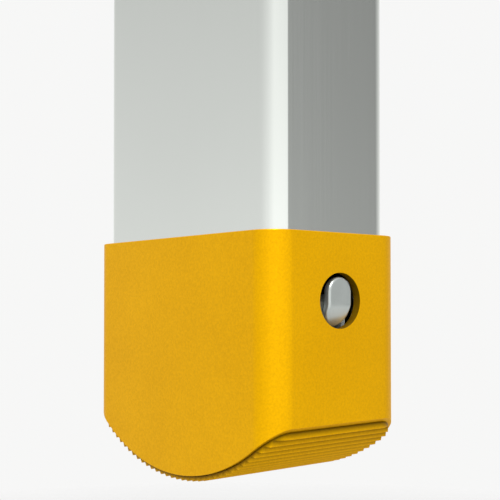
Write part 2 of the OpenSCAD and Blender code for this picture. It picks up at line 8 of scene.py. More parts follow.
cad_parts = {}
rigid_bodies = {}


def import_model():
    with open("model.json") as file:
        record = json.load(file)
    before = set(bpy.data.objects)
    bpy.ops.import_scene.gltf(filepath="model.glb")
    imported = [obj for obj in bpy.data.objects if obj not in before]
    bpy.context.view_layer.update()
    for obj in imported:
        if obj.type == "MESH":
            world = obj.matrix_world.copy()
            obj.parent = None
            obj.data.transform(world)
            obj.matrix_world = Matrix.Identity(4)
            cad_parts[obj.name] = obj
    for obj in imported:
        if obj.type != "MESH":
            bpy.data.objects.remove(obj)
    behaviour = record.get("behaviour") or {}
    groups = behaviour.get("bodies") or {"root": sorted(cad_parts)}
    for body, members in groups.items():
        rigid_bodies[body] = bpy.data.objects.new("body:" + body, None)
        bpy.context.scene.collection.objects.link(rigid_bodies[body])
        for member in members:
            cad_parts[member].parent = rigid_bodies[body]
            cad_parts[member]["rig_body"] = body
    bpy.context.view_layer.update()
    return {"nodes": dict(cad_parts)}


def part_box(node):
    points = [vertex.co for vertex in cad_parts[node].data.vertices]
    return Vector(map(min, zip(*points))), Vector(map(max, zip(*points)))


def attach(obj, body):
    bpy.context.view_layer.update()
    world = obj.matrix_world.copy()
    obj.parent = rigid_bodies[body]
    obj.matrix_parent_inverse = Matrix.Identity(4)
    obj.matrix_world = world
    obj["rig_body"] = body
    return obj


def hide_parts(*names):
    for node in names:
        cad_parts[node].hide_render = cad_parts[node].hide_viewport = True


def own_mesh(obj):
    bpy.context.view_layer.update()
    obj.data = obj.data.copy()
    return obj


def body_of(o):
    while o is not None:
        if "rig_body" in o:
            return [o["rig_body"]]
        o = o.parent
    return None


bl_info = {
    "name": "Retractable bollard",
    "version": (1, 0, 0),
    "blender": (4, 5, 0),
    "location": "View3D > Sidebar > Bollard",
    "description": "Builds the looks of a retractable bollard around its packed frame",
    "category": "Add Mesh",
}

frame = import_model()
MM = 0.001
BEYOND = 4 * MM  # how far a cutting shape runs past a face
BACK_DEEP = 6 * MM  # how far the back's holes are cut in
FINISHES = {}


# ---- sizes and colours that a user would change ----

def length(name, description, default):
    return bpy.props.FloatProperty(
        name=name, description=description, default=default * MM, min=0,
        unit="LENGTH", subtype="DISTANCE")


def colour(name, description, default):
    return bpy.props.FloatVectorProperty(
        name=name, description=description, default=default, size=3, min=0, max=1,
        subtype="COLOR")


class BollardFootSizes(bpy.types.PropertyGroup):
    side_height: length("Narrow wall", "Height of the shoe's narrow walls", 86.6)
    corner: length("Corner", "Radius of the shoe's upright corners", 12.8)
    column_room: length("Room for the column", "Wall of the shoe with its slip fit", 4.3)
    floor_up: length("Floor height", "Floor's underside above the narrow walls' foot", 6)
    floor_thick: length("Floor", "Thickness of the floor inside the shoe", 6)
    edge: length("Edge", "Rounding of the shoe's sharp edges", 0.55)
    window: length("Window", "Diameter of the round thumb window", 25.5)
    window_up: length("Window height", "Window's centre above the narrow walls' foot", 55.5)
    tread_inset: length("Tread inset", "Tread behind the shoe's outer faces", 1.5)
    tread_out: length("Tread", "How far the rib tips stand below the rounded edge", 2.8)
    rib_deep: length("Groove", "Depth of the grooves between the ribs", 2.2)
    seam: length("Seam", "Shadow gap between the tread and the shoe", 0.4)
    ribs: bpy.props.IntProperty(
        name="Ribs", description="Number of ribs across the tread", default=36, min=8)


class BollardLeverSizes(bpy.types.PropertyGroup):
    above: length("Above", "Reach of the face above the window's centre", 10.8)
    below: length("Below", "Reach of the face below the window's centre", 12)
    width: length("Width", "Width of the lever's face", 14.4)
    thick: length("Thickness", "Thickness of the lever's face", 4)
    bend: length("Bend", "Drop from the window's centre to the bend", 2.3)
    lean: length("Lean", "How far the lower end slopes inwards", 5)
    hub_extra: length("Hub", "How much wider the hub is than the face", 1.4)
    edge: length("Edge", "Rounding of the face's outline", 1.2)


class BollardColumnSizes(bpy.types.PropertyGroup):
    corner: length("Corner", "Radius of the outer column's corners", 9.5)
    wall: length("Wall", "Wall of the outer column", 3)
    mast_corner: length("Mast corner", "Radius of the mast's corners", 5)
    mast_wall: length("Mast wall", "Wall of the mast", 3)
    collar_corner: length("Collar corner", "Radius of the collar's and cap's corners", 12.1)


class BollardHeadSizes(bpy.types.PropertyGroup):
    crown: length("Crown", "Radius of the cap's crown", 260)
    cap_height: length("Cap", "Height of the cap above the collar", 42)
    recess_long: length("Recess length", "Length of the handle's recess", 96)
    recess_wide: length("Recess width", "Width of the handle's recess", 46)
    recess_deep: length("Recess depth", "Depth of the handle's recess", 24)
    recess_y: length("Recess shift", "Recess's centre before the cap's", 4)
    hinge_y: length("Hinge", "Handle's hinge behind the cap's centre", 10)
    hinge_down: length("Hinge depth", "Handle's hinge below the crown", 10)
    handle_reach: length("Handle reach", "Hinge to the handle's bar", 22)


class BollardColours(bpy.types.PropertyGroup):
    coat: colour("Coat", "Powder coat of the shoe, collar and cap", (0.93, 0.495, 0.002))
    coat_low: colour("Coat, low spots", "Darker grain of the coat", (0.78, 0.395, 0.0015))
    column: colour("Column", "Satin metal of the column", (0.90, 0.935, 0.89))
    chrome: colour("Bright metal", "Polished lever and handle", (0.88, 0.90, 0.92))
    lever: colour("Lever", "Satin metal of the thumb lever", (0.58, 0.62, 0.595))
    floor: colour("Floor", "Pale studio floor", (0.92, 0.92, 0.92))
    # painted shadow: the darker floor colour under the bollard
    floor_painted_shadow: colour("Floor, middle", "Floor under the bollard", (0.44, 0.44, 0.44))


# ---- picking, cutting and rounding ----

def let_go():
    """Leaves Blender in object mode with nothing selected."""
    if bpy.context.mode != "OBJECT":
        bpy.ops.object.mode_set(mode="OBJECT")
    bpy.ops.object.select_all(action="DESELECT")


def hold(*pieces):
    """Selects these objects and nothing else, the first one active."""
    let_go()
    for piece in pieces:
        piece.select_set(True)
    bpy.context.view_layer.objects.active = pieces[0]


def settle(name):
    """Names the new primitive and puts its place into its mesh."""
    bpy.ops.object.transform_apply(location=True, rotation=True, scale=True)
    piece = bpy.context.active_object
    piece.name = piece.data.name = name
    return piece


def block(name, low, high):
    """A plain box between two corners."""
    let_go()
    low, high = Vector(low), Vector(high)
    bpy.ops.mesh.primitive_cube_add(size=1, location=(low + high) / 2, scale=high - low)
    return settle(name)


TURNS = {"X": (0, math.pi / 2, 0), "Y": (math.pi / 2, 0, 0), "Z": (0, 0, 0)}


def rod(name, along, centre, radius, start, end, sides=96):
    """A round bar along X, Y or Z. centre is its place on the other two axes, in order."""
    let_go()
    place = list(centre)
    place.insert("XYZ".index(along), (start + end) / 2)
    bpy.ops.mesh.primitive_cylinder_add(
        vertices=sides, radius=radius, depth=end - start, location=place,
        rotation=TURNS[along])
    return settle(name)


def pick(piece, kind, test):
    """Goes into edit mode with only the vertices, edges or faces that pass the test."""
    hold(piece)
    bpy.ops.object.mode_set(mode="EDIT")
    bpy.ops.mesh.select_mode(type=kind)
    bpy.ops.mesh.select_all(action="DESELECT")
    mesh = bmesh.from_edit_mesh(piece.data)
    group = {"VERT": mesh.verts, "EDGE": mesh.edges, "FACE": mesh.faces}[kind]
    found = [part for part in group if test(part)]
    for part in found:
        part.select_set(True)
    mesh.select_flush_mode()
    bmesh.update_edit_mesh(piece.data)
    return len(found)


def upright(edge):
    """True for an edge along Z."""
    step = edge.verts[1].co - edge.verts[0].co
    return abs(step.x) < 1e-7 and abs(step.y) < 1e-7


def round_edges(piece, test, radius, steps):
    """Rounds the edges that pass the test."""
    pick(piece, "EDGE", test)
    bpy.ops.mesh.bevel(
        offset=radius, segments=steps, profile=0.5, affect="EDGES", clamp_overlap=False)
    let_go()
    return piece


def rounded_block(name, low, high, radius, steps=12):
    """A block with rounded upright corners."""
    return round_edges(block(name, low, high), upright, radius, steps)


def carve(piece, tool, how="DIFFERENCE"):
    """Cuts, joins or crosses the piece with another one, which is then gone."""
    hold(piece)
    bpy.ops.object.modifier_add(type="BOOLEAN")
    cut = piece.modifiers[-1]
    cut.object, cut.operation, cut.solver = tool, how, "EXACT"
    bpy.ops.object.modifier_apply(modifier=cut.name)
    hold(tool)
    bpy.ops.object.delete()
    if len(piece.data.polygons) < 4:
        raise RuntimeError(f"{piece.name} was lost in a cut")
    return piece


def clean(piece, flat=0.05):
    """Merges doubles, joins flat neighbours and turns every face outwards."""
    pick(piece, "VERT", lambda v: True)
    bpy.ops.mesh.remove_doubles(threshold=2e-6)
    bpy.ops.mesh.dissolve_limited(angle_limit=math.radians(flat))
    bpy.ops.mesh.normals_make_consistent(inside=False)
    let_go()
    return piece


def soften(piece, width, steps=3, angle=34, smooth=40):
    """Rounds every sharp edge, then shades curves smooth and flats flat."""
    clean(piece)
    hold(piece)
    bpy.ops.object.modifier_add(type="BEVEL")
    bevel = piece.modifiers[-1]
    bevel.width, bevel.segments = width, steps
    bevel.limit_method, bevel.angle_limit = "ANGLE", math.radians(angle)
    bevel.use_clamp_overlap = False
    bpy.ops.object.modifier_apply(modifier=bevel.name)
    return shade(piece, smooth)


def round_rim(piece, inside, width, steps, angle=34):
    """Rounds the sharp edges whose two ends are both inside the given region."""
    def sharp(edge):
        return (len(edge.link_faces) == 2 and edge.calc_face_angle() > math.radians(angle)
                and all(inside(v.co) for v in edge.verts))
    round_edges(piece, sharp, width, steps)


def shade(piece, smooth=40):
    """Shades curves smooth and flats flat."""
    hold(piece)
    bpy.ops.object.shade_smooth_by_angle(angle=math.radians(smooth))
    bpy.ops.object.modifier_add(type="WEIGHTED_NORMAL")
    weigh = piece.modifiers[-1]
    weigh.keep_sharp = True
    bpy.ops.object.modifier_apply(modifier=weigh.name)
    return piece


def place(piece, finish, body, slot, *nodes):
    """Gives a finished piece its material, its body and the nodes that it stands for."""
    piece.data.materials.clear()
    piece.data.materials.append(FINISHES[finish]())
    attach(piece, body)
    if nodes:
        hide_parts(*nodes)
    return piece


def join(*pieces):
    """Puts the pieces into the first one."""
    hold(*pieces)
    bpy.ops.object.join()
    return pieces[0]


# ---- finishes ----

class Finish:
    """A material's node tree, built step by step."""

    def __init__(self, name):
        self.material = bpy.data.materials.new(name)
        self.material.use_nodes = True
        self.tree = self.material.node_tree
        self.shader = self.tree.nodes["Principled BSDF"]
        self.place = self.tree.nodes.new("ShaderNodeTexCoord").outputs["Object"]

    def add(self, kind, inputs=(), **settings):
        node = self.tree.nodes.new(kind)
        for key, value in settings.items():
            setattr(node, key, value)
        for key, value in dict(inputs).items():
            if isinstance(value, bpy.types.NodeSocket):
                self.tree.links.new(value, node.inputs[key])
            else:
                node.inputs[key].default_value = value
        return node

    def stretched(self, x, y, z):
        return self.add("ShaderNodeMapping", {"Vector": self.place, "Scale": (x, y, z)}).outputs[0]

    def noise(self, scale, detail=3.0, rough=0.55, where=None):
        return self.add("ShaderNodeTexNoise", {
            "Vector": where or self.place, "Scale": scale, "Detail": detail,
            "Roughness": rough}).outputs["Fac"]

    def cells(self, scale, where=None, feature="F1"):
        return self.add("ShaderNodeTexVoronoi", {
            "Vector": where or self.place, "Scale": scale}, feature=feature).outputs["Distance"]

    def spread(self, value, low, high, to_low=0.0, to_high=1.0):
        return self.add("ShaderNodeMapRange", {
            "Value": value, "From Min": low, "From Max": high, "To Min": to_low,
            "To Max": to_high}).outputs["Result"]

    def blend(self, share, first, second):
        node = self.add("ShaderNodeMix", data_type="RGBA")
        self.tree.links.new(share, node.inputs["Factor"])
        for socket, value in (("A", first), ("B", second)):
            sockets = [s for s in node.inputs if s.name == socket and s.type == "RGBA"]
            if isinstance(value, bpy.types.NodeSocket):
                self.tree.links.new(value, sockets[0])
            else:
                sockets[0].default_value = (*value, 1)
        return [s for s in node.outputs if s.type == "RGBA"][0]

    def sum(self, first, second, how="ADD"):
        return self.add("ShaderNodeMath", {0: first, 1: second}, operation=how).outputs[0]

    def vector(self, how, first, second=(0, 0, 0)):
        return self.add("ShaderNodeVectorMath", {0: first, 1: second}, operation=how)

    def bump(self, height, depth, strength=1.0):
        normal = self.add("ShaderNodeBump", {
            "Height": height, "Distance": depth, "Strength": strength}).outputs[0]
        self.tree.links.new(normal, self.shader.inputs["Normal"])

    def wire(self, socket, value):
        self.tree.links.new(value, self.shader.inputs[socket])

    def fix(self, **values):
        for key, value in values.items():
            self.shader.inputs[key.replace("_", " ")].default_value = value
        return self.material


def finish(function):
    """Makes each material once, the first time that a piece asks for it."""
    name = function.__name__

    def once():
        return bpy.data.materials.get(name) or function(Finish(name))

    FINISHES[name] = once
    return once


def coat(f, shade_factor=1.0, depth=None):
    """Thick yellow coat with a fine grain of bumps. depth fades it from the tint to full."""
    colours = bpy.context.scene.bollard_colours
    grain = f.noise(950, 3, 0.6)
    pores = f.cells(1500)
    drift = f.noise(22, 2, 0.5)
    tone = f.sum(f.spread(grain, 0.32, 0.68, 0, 0.72), f.spread(drift, 0.3, 0.7, 0, 0.28))
    full = f.blend(tone, tuple(colours.coat_low), tuple(colours.coat))
    # painted shade: the coat's colours scaled down by the shade factor
    painted_shade_colour = f.blend(tone, *(tuple(c * shade_factor for c in base)
                           for base in (colours.coat_low, colours.coat)))
    f.wire("Base Color", f.blend(depth, painted_shade_colour, full) if depth else painted_shade_colour)
    f.wire("Roughness", f.spread(grain, 0.3, 0.7, 0.52, 0.42))
    f.bump(f.sum(grain, f.spread(pores, 0, 0.7, 0.0, 0.5)), 0.00008, 0.5)
    return f.fix(Metallic=0.6, Specular_IOR_Level=0.03)


@finish
def powder_coat(f):
    """The coat on every outer face."""
    return coat(f)


@finish
def bore_coat(f):
    """The coat inside a bore, where it is thin."""
    return coat(f, 0.34)


@finish
def tread_groove_shade_coat(f):
    """The coat on the ribs: thin at the bottom of the grooves, full on the tips."""
    sizes = bpy.context.scene.bollard_foot
    _, radius, centre_z = foot_levels()
    tip = radius + sizes.tread_out
    from_middle = f.vector("SUBTRACT", f.place, (0, 0, centre_z)).outputs[0]
    flat = f.vector("MULTIPLY", from_middle, (1, 0, 1)).outputs[0]
    reach = f.vector("LENGTH", flat).outputs["Value"]
    groove = tip - sizes.rib_deep
    # painted shade: full colour at the rib tips, fading to 0.22 of it at the groove bottoms; faces
    # inward of the grooves stay full
    on_ribs = f.spread(reach, groove, tip)
    on_ends = f.spread(reach, groove - 0.5 * MM, groove - 0.2 * MM, 1, 0)
    return coat(f, 0.22, f.sum(on_ribs, on_ends, "MAXIMUM"))


@finish
def column_metal(f):
    """Satin silver-grey metal, drawn along the column."""
    colours = bpy.context.scene.bollard_colours
    lines = f.noise(1, 2, 0.5, f.stretched(2600, 2600, 6))
    drift = f.noise(9, 2, 0.5)
    base = tuple(colours.column)
    low = tuple(c * 0.975 for c in base)
    f.wire("Base Color", f.blend(f.spread(f.sum(lines, drift), 0.75, 1.25), low, base))
    f.wire("Roughness", f.spread(lines, 0.3, 0.7, 0.13, 0.16))
    f.bump(lines, 0.0000015, 0.2)
    return f.fix(Metallic=1.0)


@finish
def bright_chrome(f):
    """Polished metal with hairline wear."""
    colours = bpy.context.scene.bollard_colours
    haze = f.noise(160, 4, 0.6)
    hairs = f.noise(1, 2, 0.5, f.stretched(5200, 900, 420))
    base = tuple(colours.chrome)
    low = tuple(c * 0.95 for c in base)
    f.wire("Base Color", f.blend(f.spread(haze, 0.35, 0.65), low, base))
    f.wire("Roughness", f.spread(f.sum(haze, hairs), 0.7, 1.3, 0.05, 0.11))
    f.bump(hairs, 0.000003, 0.2)
    return f.fix(Metallic=1.0)


def plain_metal(f, light, dark, rough, grain_scale, depth):
    """Dull metal with a spangle of grains."""
    grain = f.noise(grain_scale, 4, 0.6)
    spangle = f.cells(grain_scale * 0.45)
    f.wire("Base Color", f.blend(f.spread(f.sum(grain, spangle), 0.4, 1.3), dark, light))
    f.wire("Roughness", f.spread(grain, 0.3, 0.7, rough, rough + 0.12))
    f.bump(grain, depth, 0.4)
    return f.fix(Metallic=1.0)


@finish
def lever_metal(f):
    """Satin plated lever with fine upright lines."""
    lines = f.noise(1, 2, 0.5, f.stretched(700, 1900, 50))
    haze = f.noise(180, 3, 0.6)
    base = tuple(bpy.context.scene.bollard_colours.lever)
    low = tuple(c * 0.94 for c in base)
    f.wire("Base Color", f.blend(f.spread(f.sum(lines, haze), 0.75, 1.25), low, base))
    f.wire("Roughness", f.spread(haze, 0.3, 0.7, 0.30, 0.36))
    f.bump(lines, 0.000001, 0.15)
    return f.fix(Metallic=0.8)


@finish
def cradle_metal(f):
    """Galvanised sheet: pale, dull and a little blue."""
    plain_metal(f, (0.84, 0.90, 0.94), (0.70, 0.76, 0.80), 0.42, 800, 0.00001)
    return f.fix(Metallic=0.35)


@finish
def zinc_plate(f):
    """Zinc on screws, pins and nuts."""
    return plain_metal(f, (0.62, 0.64, 0.67), (0.42, 0.44, 0.47), 0.24, 700, 0.00001)


@finish
def ground_steel(f):
    """Ground rod with fine rings round it."""
    rings = f.noise(1, 2, 0.5, f.stretched(500, 500, 9000))
    shade_share = f.spread(rings, 0.35, 0.65)
    f.wire("Base Color", f.blend(shade_share, (0.60, 0.61, 0.62), (0.76, 0.77, 0.78)))
    f.wire("Roughness", f.spread(rings, 0.3, 0.7, 0.12, 0.2))
    f.bump(rings, 0.000004, 0.3)
    return f.fix(Metallic=1.0)


def grained(f, grain, dark, light, dull, depth, strength):
    """A fine even grain that runs through colour, gloss and height."""
    f.wire("Base Color", f.blend(f.spread(grain, 0.3, 0.7), dark, light))
    f.wire("Roughness", f.spread(grain, 0.3, 0.7, *dull))
    f.bump(grain, depth, strength)


@finish
def dark_coat(f):
    """Dark grey coat on folded steel."""
    grained(f, f.noise(900, 3, 0.6), (0.018, 0.020, 0.024), (0.040, 0.043, 0.05),
            (0.38, 0.52), 0.00004, 0.4)
    return f.fix(IOR=1.5)


@finish
def gloss_black(f):
    """Black paint of the gas cylinder, with slight orange peel."""
    grained(f, f.noise(260, 3, 0.5), (0.010, 0.010, 0.011), (0.022, 0.022, 0.024),
            (0.14, 0.24), 0.00002, 0.3)
    return f.fix(Coat_Weight=0.5, Coat_Roughness=0.08)


@finish
def slide_plastic(f):
    """Black moulded guide plastic."""
    grained(f, f.noise(1200, 3, 0.6), (0.016, 0.016, 0.018), (0.035, 0.035, 0.038),
            (0.48, 0.62), 0.00003, 0.4)
    return f.fix(IOR=1.5)


@finish
def milled_plate(f):
    """Milled aluminium with the cutter's lines."""
    cutter = f.noise(1, 2, 0.5, f.stretched(1800, 90, 300))
    shade_share = f.spread(cutter, 0.35, 0.65)
    f.wire("Base Color", f.blend(shade_share, (0.62, 0.63, 0.64), (0.82, 0.83, 0.84)))
    f.wire("Roughness", f.spread(cutter, 0.3, 0.7, 0.2, 0.34))
    f.bump(cutter, 0.00001, 0.4)
    return f.fix(Metallic=1.0)


@finish
def mast_metal(f):
    """Anodised tube: fine lines along its length under a clear oxide."""
    lines = f.noise(1, 3, 0.5, f.stretched(3200, 3200, 8))
    drift = f.noise(14, 2, 0.5)
    shade_share = f.spread(f.sum(lines, drift), 0.75, 1.25)
    f.wire("Base Color", f.blend(shade_share, (0.70, 0.72, 0.74), (0.84, 0.86, 0.87)))
    f.wire("Roughness", f.spread(lines, 0.3, 0.7, 0.24, 0.34))
    f.bump(lines, 0.000006, 0.35)
    return f.fix(Metallic=1.0)


@finish
def soft_rubber(f):
    """Black rubber with a little dust in its pores."""
    grain = f.noise(1400, 4, 0.65)
    dust = f.noise(60, 3, 0.6)
    dusty = f.spread(f.sum(grain, dust), 0.8, 1.3)
    f.wire("Base Color", f.blend(dusty, (0.010, 0.010, 0.010), (0.034, 0.033, 0.032)))
    f.wire("Roughness", f.spread(grain, 0.3, 0.7, 0.66, 0.84))
    f.bump(grain, 0.00005, 0.5)
    return f.fix(IOR=1.52)


@finish
def reflective_film(f):
    """White retroreflective film: a honeycomb of small bright cells."""
    comb = f.cells(330, feature="DISTANCE_TO_EDGE")
    weld = f.spread(comb, 0.03, 0.10)
    shine = f.noise(1700, 2, 0.5)
    inside = f.blend(f.spread(shine, 0.35, 0.65), (0.66, 0.68, 0.70), (0.86, 0.87, 0.88))
    f.wire("Base Color", f.blend(weld, (0.40, 0.41, 0.42), inside))
    f.wire("Roughness", f.spread(shine, 0.3, 0.7, 0.18, 0.3))
    f.bump(weld, 0.00005, 0.5)
    return f.fix(Coat_Weight=0.7, Coat_Roughness=0.06, Metallic=0.25)


INNER = {
    "zinc_plate": ["tread_screws", "bracket_screws", "release_rocker", "rocker_pin",
                   "stand_bolts", "strut_piston", "strut_nuts",
                   "plate_screws", "strut_top_nut", "foot_rivets"],
    "ground_steel": ["release_pin", "strut_rod"],
    "dark_coat": ["strut_stand"],
    "gloss_black": ["strut_cylinder"],
    "slide_plastic": ["strut_gland", "foot_guide", "column_guide"],
    "milled_plate": ["cross_plate"],
    "soft_rubber": ["bump_stop"],
}


# ---- shapes ----

def foot_levels():
    """Level of the narrow walls' foot, and the rounded edge's radius and centre height."""
    low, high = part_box("shoe_shell")
    seam = high.z - bpy.context.scene.bollard_foot.side_height
    half, drop = (high.x - low.x) / 2, seam - low.z
    radius = (half ** 2 + drop ** 2) / (2 * drop)
    return seam, radius, low.z + radius


def inner_block(name, margin, corner, low_z, high_z):
    """A block standing back from the shoe's outer faces by the margin."""
    low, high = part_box("shoe_shell")
    return rounded_block(
        name, (low.x + margin, low.y + margin, low_z), (high.x - margin, high.y - margin, high_z),
        corner, 16)


def ring(name, node, corner, wall, low_z, high_z):
    """A rounded tube as wide as the node."""
    low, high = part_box(node)
    outer = rounded_block(name, (low.x, low.y, low_z), (high.x, high.y, high_z), corner, 16)
    inner = rounded_block(
        name + "_bore", (low.x + wall, low.y + wall, low_z - BEYOND),
        (high.x - wall, high.y - wall, high_z + BEYOND), max(corner - wall, 1 * MM), 16)
    return carve(outer, inner)


def make_shoe():
    """A block with a rounded lower edge, hollow above and below its floor, and its holes."""
    sizes = bpy.context.scene.bollard_foot
    low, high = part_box("shoe_shell")
    seam, radius, centre_z = foot_levels()
    shoe = rounded_block("shoe", low, high, sizes.corner, 20)
    under = block("under", (low.x - BEYOND, low.y - BEYOND, low.z - BEYOND),
                  (high.x + BEYOND, high.y + BEYOND, seam))
    carve(under, rod("belly", "Y", (0, centre_z), radius, low.y - 2 * BEYOND,
                     high.y + 2 * BEYOND, 360))
    carve(shoe, under)
    floor_low = seam + sizes.floor_up
    floor_top = floor_low + sizes.floor_thick
    slip = 0.2 * MM
    corner = bpy.context.scene.bollard_column.corner + slip
    carve(shoe, inner_block("well", sizes.column_room, corner, floor_top, high.z + BEYOND))
    carve(shoe, inner_block("hollow", sizes.column_room, corner, low.z - BEYOND, floor_low))
    window_z = seam + sizes.window_up
    carve(shoe, rod("window", "X", (0, window_z), sizes.window / 2,
                    high.x - sizes.column_room - 1 * MM, high.x + BEYOND, 128))
    for spots, radius_shoe, _ in back_holes():
        for spot in spots:
            carve(shoe, rod("hole", "Y", spot, radius_shoe, high.y - BACK_DEEP,
                            high.y + BEYOND, 48))
    clean(shoe)
    pick(shoe, "VERT", lambda v: v.co.z < seam + 0.1 * MM)
    bpy.ops.mesh.remove_doubles(threshold=0.3 * MM)
    let_go()
    round_rim(shoe, lambda v: v.z > high.z - 1 * MM, sizes.edge, 3)
    window_edge, hole_edge, foot_edge = 0.25 * MM, 0.4 * MM, 0.18 * MM
    round_rim(shoe, lambda v: v.x > high.x - 0.5 * MM and abs(v.z - window_z) < 20 * MM,
              window_edge, 2)
    round_rim(shoe, lambda v: v.y > high.y - 0.5 * MM and seam + 5 * MM < v.z < high.z - 5 * MM,
              hole_edge, 2)
    round_rim(shoe, lambda v: v.z < seam + 0.1 * MM, foot_edge, 1)
    shade(shoe)
    place(shoe, "powder_coat", "base", "yellow_coat", "shoe_shell")
    # painted shade: the window's bore faces get the darkened coat
    shoe.data.materials.append(FINISHES["bore_coat"]())
    bore = sizes.window / 2 + 0.05 * MM
    for face in shoe.data.polygons:
        spots = [shoe.data.vertices[i].co for i in face.vertices]
        if all(v.x > 0 and math.hypot(v.y, v.z - window_z) < bore for v in spots):
            face.material_index = 1
    return shoe


def middles(node):
    """Centre and half size of each loose part of a node."""
    work = bmesh.new()
    work.from_mesh(frame["nodes"][node].data)
    bmesh.ops.remove_doubles(work, verts=work.verts, dist=1e-6)
    seen, centres = set(), []
    for start in work.verts:
        if start in seen:
            continue
        queue, low, high = [start], start.co.copy(), start.co.copy()
        seen.add(start)
        while queue:
            vert = queue.pop()
            for i in range(3):
                low[i], high[i] = min(low[i], vert.co[i]), max(high[i], vert.co[i])
            for edge in vert.link_edges:
                other = edge.other_vert(vert)
                if other not in seen:
                    seen.add(other)
                    queue.append(other)
        centres.append(((low + high) / 2, (high - low) / 2))
    work.free()
    return centres


def back_holes():
    """The back's holes: their places, and their radius in the shoe and in the column."""
    inserts = [(c.x, c.z) for c, _ in middles("mount_inserts")]
    screws = [(c.x, c.z) for c, _ in middles("column_screws")]
    return [(inserts, 5.55 * MM, 5.55 * MM), (screws, 4.6 * MM, 2.6 * MM)]


def make_tread():
    """One rib's outline spun along the rounded edge, closed and cut to the shoe's outline."""
    sizes = bpy.context.scene.bollard_foot
    low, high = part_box("tread_pad")
    seam, radius, centre_z = foot_levels()
    tip = radius + sizes.tread_out
    edge = math.asin((high.x - low.x) / 2 / tip)
    pitch = 2 * edge / (sizes.ribs - 1)
    let_go()
    bpy.ops.mesh.primitive_circle_add(vertices=3, radius=pitch * tip, fill_type="NOTHING")
    tread = settle("tread")
    start_y = low.y - BEYOND

    def at(reach, angle):
        return Vector((reach * math.sin(angle), start_y, centre_z - reach * math.cos(angle)))

    groove = tip - sizes.rib_deep
    rib = [at(groove, -edge - pitch / 2), at(tip, -edge), at(groove, -edge + pitch / 2)]
    for vert, spot in zip(tread.data.vertices, rib):
        vert.co = spot
    tread.data.update()
    ends = {0, 2}
    pick(tread, "EDGE", lambda e: {v.index for v in e.verts} == ends)
    bpy.ops.mesh.delete(type="EDGE")
    pick(tread, "VERT", lambda v: True)
    bpy.ops.mesh.spin(steps=sizes.ribs - 1, dupli=True, angle=pitch * (sizes.ribs - 1),
                      center=(0, start_y, centre_z), axis=(0, 1, 0))
    bpy.ops.mesh.select_all(action="SELECT")
    bpy.ops.mesh.remove_doubles(threshold=1e-6)
    let_go()
    right = max(v.co.x for v in tread.data.vertices)
    if right < high.x - 1 * MM:
        raise RuntimeError("the ribs were spun the wrong way")
    pick(tread, "VERT", lambda v: len(v.link_edges) == 1)
    rise = seam - centre_z + groove + BEYOND
    bpy.ops.mesh.extrude_region_move(TRANSFORM_OT_translate={"value": (0, 0, rise)})
    bpy.ops.mesh.select_all(action="SELECT")
    bpy.ops.mesh.edge_face_add()
    bpy.ops.mesh.select_all(action="SELECT")
    across = high.y - low.y + 2 * BEYOND
    bpy.ops.mesh.extrude_region_move(TRANSFORM_OT_translate={"value": (0, across, 0)})
    bpy.ops.mesh.select_all(action="SELECT")
    bpy.ops.mesh.normals_make_consistent(inside=False)
    let_go()
    carve(tread, rounded_block("outline", (low.x, low.y, low.z - BEYOND), (high.x, high.y, seam),
                               sizes.corner - sizes.tread_inset, 16), "INTERSECT")
    carve(tread, rod("belly", "Y", (0, centre_z), radius + sizes.seam, low.y - BEYOND,
                     high.y + BEYOND, 360))
    plug_play, plug_corner, plug_sunk = 0.5 * MM, 8 * MM, 0.6 * MM
    margin = sizes.column_room + plug_play - sizes.tread_inset
    plug = rounded_block("plug", (low.x + margin, low.y + margin, low.z + 4 * MM),
                         (high.x - margin, high.y - margin, high.z), plug_corner, 12)
    shape = rod("plug_foot", "Y", (0, centre_z), radius + plug_sunk, low.y, high.y, 360)
    carve(plug, shape, "INTERSECT")
    clean(tread)
    round_edges(tread, lambda e: abs(e.verts[0].co.y - e.verts[1].co.y) > 1 * MM
                and len(e.link_faces) == 2 and e.calc_face_angle() > math.radians(30)
                and max(v.co.z for v in e.verts) < seam - 0.1 * MM, 0.25 * MM, 2)
    shade(tread, 30)
    shade(clean(plug))
    join(tread, plug)
    return place(tread, "tread_groove_shade_coat", "base", "yellow_coat", "tread_pad")


def make_column():
    """A rounded tube with the window's opening and the back's holes."""
    sizes = bpy.context.scene.bollard_column
    foot = bpy.context.scene.bollard_foot
    low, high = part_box("outer_column")
    seam, _, _ = foot_levels()
    column = ring("column", "outer_column", sizes.corner, sizes.wall, low.z, high.z)
    window_z = seam + foot.window_up
    window_play = 2.25 * MM
    carve(column, rod("window", "X", (0, window_z), foot.window / 2 + window_play,
                      high.x - 8 * MM, high.x + BEYOND, 96))
    for spots, _, radius_column in back_holes():
        for spot in spots:
            carve(column, rod("hole", "Y", spot, radius_column, high.y - BACK_DEEP,
                              high.y + BEYOND, 48))
    soften(column, 0.3 * MM, 2)
    return place(column, "column_metal", "base", "column_paint", "outer_column")


